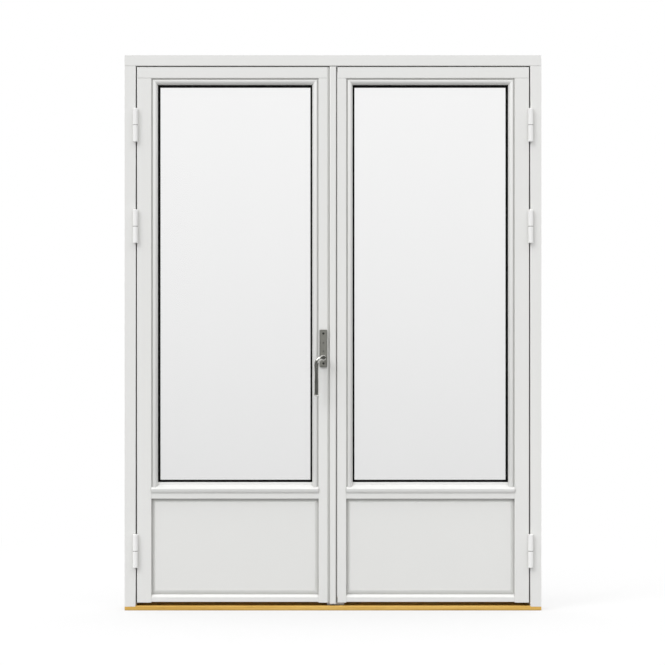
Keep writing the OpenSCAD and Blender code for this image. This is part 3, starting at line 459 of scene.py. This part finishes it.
# Glazing beads: ovolo mouldings with a quirk at the back, mitred at the top corners and scribed on
# to the bottom bead, which is a sill moulding with a rounded nose over the middle rail.
LEVEL_BEADS = ("_bead_top", "_bead_bottom")
UPRIGHT_BEADS = ("_bead_hinge_side", "_bead_meeting_side")
BEAD_EASE = 0.0005
for leaf in LEAVES:
    level_beads = [leaf + bead for bead in LEVEL_BEADS]
    upright_beads = [leaf + bead for bead in UPRIGHT_BEADS]
    dress(paint_level, *level_beads)
    dress(paint_upright, *upright_beads)
    ease(BEAD_EASE, *level_beads, *upright_beads)

# Cover strip and meeting seal: a rounded, painted strip let into the active leaf's edge, and
# behind it a pale bulb seal in a kerf that closes the gap between the leaves.
STRIP_EASE = 0.0005
SEAL_PALE = (0.62, 0.62, 0.60)
SEAL_DUSTY = (0.50, 0.50, 0.48)
dress(paint_upright, "cover_strip")
ease(STRIP_EASE, "cover_strip")
pale_rubber = new_finish("pale_rubber", {"Specular IOR Level": 0.2})
pale_rubber_dust = pale_rubber.noise((14.0, 14.0, 14.0), 4.0)
pale_rubber.feed("Base Color", pale_rubber.blend(pale_rubber_dust, SEAL_PALE, SEAL_DUSTY))
pale_rubber.feed("Roughness", 0.55 + 0.2 * pale_rubber_dust)
dress(pale_rubber, "meeting_seal")

# Bolt drive: a zinc plated gear case and faceplate in the active leaf's edge, two bolt rods with
# racks, and the gear between them. Small countersunk screws hold the faceplate.
FACEPLATE_SCREW_R = 0.003
FACEPLATE_SCREW_ZS = (0.075, 0.38, 0.68, 0.80, 1.01, 1.22, 1.55, 1.90)
dress(zinc, "bolt_case", "upper_bolt_rod", "lower_bolt_rod", "drive_gear", "handle_spindle")
low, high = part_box("bolt_case")
faceplate_places = [(high[0], (low[1] + high[1]) / 2, z) for z in FACEPLATE_SCREW_ZS]
screw_heads("faceplate_screws", faceplate_places, (1, 0, 0), FACEPLATE_SCREW_R, zinc,
            "active_leaf")

# Handle: cast and nickel plated. The plate is brushed and has dulled, the cranked lever is polished
# by the hand, and the two slotted screws are darker. The lever turns on a square spindle.
PLATE_NICKEL = ((0.415, 0.415, 0.375), (0.51, 0.507, 0.465))
LEVER_NICKEL = ((0.64, 0.64, 0.605), (0.80, 0.795, 0.76))
NICKEL_HOLLOW_SHADE = (0.05, 0.05, 0.045)
NICKEL_RELIEF = 0.00006
HOLLOW_SHADE_REACH = 0.005
GUNMETAL_DARK = (0.10, 0.10, 0.095)
GUNMETAL_PALE = (0.18, 0.18, 0.17)
PLATE_EASE = 0.0004


def nickel_plating(name, shades, metallic, roughness, hollow_shade):
    plating = new_finish(name, {"Metallic": metallic})
    ground = plating.noise((1500.0, 1500.0, 45.0), 3.0)
    clouds = plating.noise((55.0, 55.0, 40.0), 3.0)
    # Painted shade: slots, dimples and corners of the plating are darkened in its colour.
    hollow = shade_in_hollows(plating, HOLLOW_SHADE_REACH, 0.66, 0.97)
    metal = plating.blend(clouds, *shades)
    plating.feed("Base Color", plating.blend(hollow * hollow_shade, metal, NICKEL_HOLLOW_SHADE))
    plating.feed("Roughness", roughness + 0.14 * ground)
    plating.relief(ground * 0.7 + clouds * 0.3, NICKEL_RELIEF)
    return plating


brushed_nickel = nickel_plating("brushed_nickel", PLATE_NICKEL, metallic=0.72, roughness=0.30, hollow_shade=0.85)
polished_nickel = nickel_plating("polished_nickel", LEVER_NICKEL, metallic=1.0, roughness=0.15, hollow_shade=0.5)
gunmetal = new_finish("gunmetal_screws", {"Metallic": 1.0})
gunmetal_turned = gunmetal.noise((800.0, 800.0, 800.0), 2.0)
gunmetal.feed("Base Color", gunmetal.blend(gunmetal_turned, GUNMETAL_DARK, GUNMETAL_PALE))
gunmetal.feed("Roughness", 0.24 + 0.12 * gunmetal_turned)
dress(brushed_nickel, "handle_plate")
dress(polished_nickel, "handle_lever")
dress(gunmetal, "handle_screws")
ease(PLATE_EASE, "handle_plate")

# Flush bolts: round zinc plated bolts in the passive leaf's edge, each moved by a thumb slide in
# the slot of a screwed plate.
FLUSH_PLATE_LEN = 0.18
FLUSH_SCREW_R = 0.003
FLUSH_SCREW_END = 0.012
dress(zinc, "flush_bolt_plates", "flush_bolt_top", "flush_bolt_bottom")
low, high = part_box("flush_bolt_plates")
flush_ends = (FLUSH_SCREW_END, FLUSH_PLATE_LEN - FLUSH_SCREW_END)
flush_zs = [low[2] + end for end in flush_ends] + [high[2] - end for end in reversed(flush_ends)]
flush_places = [(low[0], (low[1] + high[1]) / 2, z) for z in flush_zs]
screw_heads("flush_plate_screws", flush_places, (-1, 0, 0), FLUSH_SCREW_R, zinc,
            "passive_leaf")

# Studio floor: a pale, matt sheet that runs off to white away from the doors. Near them it keeps
# a part of their soft shadow.
FLOOR_HALF = 60.0
FLOOR_LIT = (0.36, 0.36, 0.36)
FLOOR_SEEN = (0.66, 0.66, 0.66)
SHADOW_KEPT = 0.38
SHADOW_NEAR = 0.9
SHADOW_FAR = 3.2


def stage_sheet(name, points, faces, finish):
    mesh = bpy.data.meshes.new(name)
    mesh.from_pydata(points, [], faces)
    mesh.materials.append(finish.holder)
    sheet = bpy.data.objects.new(name, mesh)
    bpy.context.scene.collection.objects.link(sheet)
    return sheet


def white_rays(finish):
    """Rays that show the background as white: from the camera, off metal and through glass."""
    kinds = ("Is Camera Ray", "Is Glossy Ray", "Is Transmission Ray")
    seen, mirrored, through = [finish.node("ShaderNodeLightPath", {}, {}, kind) for kind in kinds]
    return seen + mirrored + through


floor = new_finish("pale_floor", {"Roughness": 0.9, "Specular IOR Level": 0.0})
floor_seen = floor.node("ShaderNodeLightPath", {}, {}, "Is Camera Ray")
floor.feed("Base Color", floor.blend(floor_seen, FLOOR_LIT, FLOOR_SEEN))
floor_spot = floor.spot((1.0, 1.0, 0.0))
floor_away = floor.node("ShaderNodeVectorMath", {"operation": "LENGTH"}, {0: floor_spot}, "Value")
floor_kept = floor.node("ShaderNodeMapRange", {"interpolation_type": "SMOOTHSTEP"}, {
    "Value": floor_away, "From Min": SHADOW_NEAR, "From Max": SHADOW_FAR,
    "To Min": SHADOW_KEPT, "To Max": 0.0})
floor_white = floor.node("ShaderNodeEmission", {}, {"Color": (1.0, 1.0, 1.0, 1.0), "Strength": 1.0})
floor_share = white_rays(floor) * (1.0 - floor_kept)
mixed_surface(floor, floor_share, Tone(floor, floor.main.outputs[0]), floor_white)
floor_corners = [(x * FLOOR_HALF, y * FLOOR_HALF, 0.0) for x, y in ((-1, -1), (1, -1), (1, 1), (-1, 1))]
stage_sheet("studio_floor", floor_corners, [(0, 1, 2, 3)], floor)

# Dark screen: curved felt that stands round the front of the doors. Only reflections show it, and
# it gives the plated handle its dark tones.
SCREEN_R = 3.2
SCREEN_H = 2.4
SCREEN_HALF_TURN = math.radians(110)
SCREEN_PARTS = 16
FELT_DARK = (0.11, 0.11, 0.105, 1.0)
felt = new_finish("dark_felt", {"Base Color": FELT_DARK, "Roughness": 1.0, "Specular IOR Level": 0.0})
screen_turns = [SCREEN_HALF_TURN * (2 * k / SCREEN_PARTS - 1) for k in range(SCREEN_PARTS + 1)]
screen_foot = [(SCREEN_R * math.sin(turn), -SCREEN_R * math.cos(turn)) for turn in screen_turns]
screen_points = [(x, y, z) for x, y in screen_foot for z in (0.0, SCREEN_H)]
screen_faces = [(2 * k, 2 * k + 2, 2 * k + 3, 2 * k + 1) for k in range(SCREEN_PARTS)]
screen = stage_sheet("dark_screen", screen_points, screen_faces, felt)
screen.visible_camera = False
screen.visible_diffuse = False
screen.visible_shadow = False
screen.visible_transmission = False

# Sky and lamp: soft light all round that grows towards the zenith, seen as plain white, and a
# broad lamp high on the left of the room side.
SKY_HORIZON = 0.43
SKY_ZENITH = 1.98
SKY_SHOWN = 1.0
LAMP_STRENGTH = 0.78
LAMP_BREADTH = math.radians(24)
LAMP_WAY = (0.55, 0.60, -0.58)
world = bpy.data.worlds.new("studio")
bpy.context.scene.world = world
sky = Finish(world, {"Color": (1.0, 1.0, 1.0, 1.0)}, "Background")
sky_way = sky.node("ShaderNodeTexCoord", {}, {}, "Generated")
sky_rise = sky.node("ShaderNodeSeparateXYZ", {}, {0: sky_way}, "Z")
sky_light = sky.node("ShaderNodeMapRange", {}, {
    "Value": sky_rise, "To Min": SKY_HORIZON, "To Max": SKY_ZENITH})
sky_shown = sky.node("ShaderNodeMapRange", {}, {
    "Value": white_rays(sky), "To Min": sky_light, "To Max": SKY_SHOWN})
sky.feed("Strength", sky_shown)
lamp_light = bpy.data.lights.new("studio_lamp", "SUN")
lamp_light.energy = LAMP_STRENGTH
lamp_light.angle = LAMP_BREADTH
lamp = bpy.data.objects.new("studio_lamp", lamp_light)
lamp.rotation_euler = Vector(LAMP_WAY).to_track_quat("-Z", "Y").to_euler()
bpy.context.scene.collection.objects.link(lamp)

# Camera: level and square to the doors, far enough away that their depth hardly shows. The view's
# width is measured on the leaves' front face.
LENS = 130.0
SENSOR = 36.0
VIEW_WIDTH = 2.3775
VIEW_MIDDLE = (-0.0018, -0.0525, 0.9936)
view_x, view_y, view_z = VIEW_MIDDLE
camera_lens = bpy.data.cameras.new("camera")
camera_lens.lens = LENS
camera_lens.sensor_width = SENSOR
camera = bpy.data.objects.new("camera", camera_lens)
camera.location = (view_x, view_y - VIEW_WIDTH * LENS / SENSOR, view_z)
camera.rotation_euler = (math.radians(90), 0.0, 0.0)
bpy.context.scene.collection.objects.link(camera)
bpy.context.scene.camera = camera
bpy.context.scene.view_settings.view_transform = "Standard"
